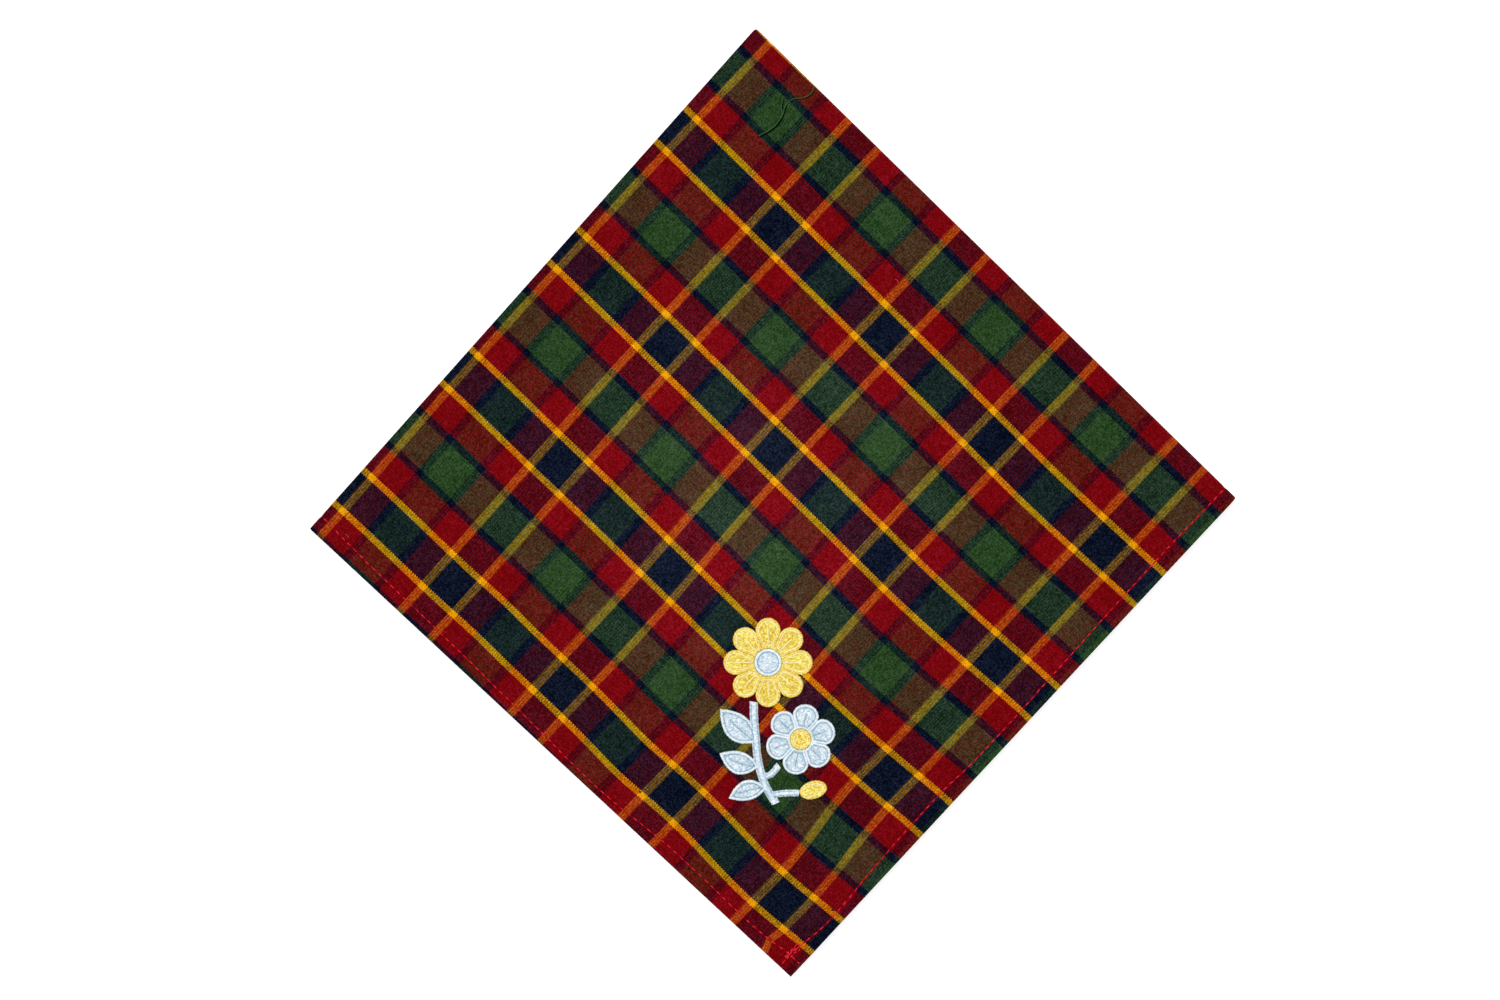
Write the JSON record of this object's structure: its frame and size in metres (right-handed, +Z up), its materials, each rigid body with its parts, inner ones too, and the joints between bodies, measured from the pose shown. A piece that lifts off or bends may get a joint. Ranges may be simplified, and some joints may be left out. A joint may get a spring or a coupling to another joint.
{
  "type": "folded neckerchief",
  "caption": "Square cotton check neckerchief with stitched hems and a small embroidered flower spray, folded into a quarter and lying flat.",
  "frame": {"origin": "on the surface it lies on, under the middle of the folded square's outline", "axes": "+Z up out of the cloth; +Y from the hemmed corner with the spray towards the corner where both folds meet; +X to the right seen from above"},
  "size_m": [0.3552, 0.3635, 0.0068],
  "materials": {
    "check_cotton": "matt plain-weave cotton, woven check of red, green, navy and yellow",
    "yellow_thread": "satin-stitched yellow thread",
    "pale_blue_thread": "satin-stitched pale silver-blue thread",
    "red_thread": "bright red sewing thread",
    "green_thread": "loose dark green thread end"
  },
  "bodies": {
    "root": {"kerchief": "check_cotton", "bloom_upper": "yellow_thread", "eye_upper": "pale_blue_thread", "bloom_lower": "pale_blue_thread", "eye_lower": "yellow_thread", "sprig": "pale_blue_thread", "bud": "yellow_thread"}
  },
  "joints": []
}
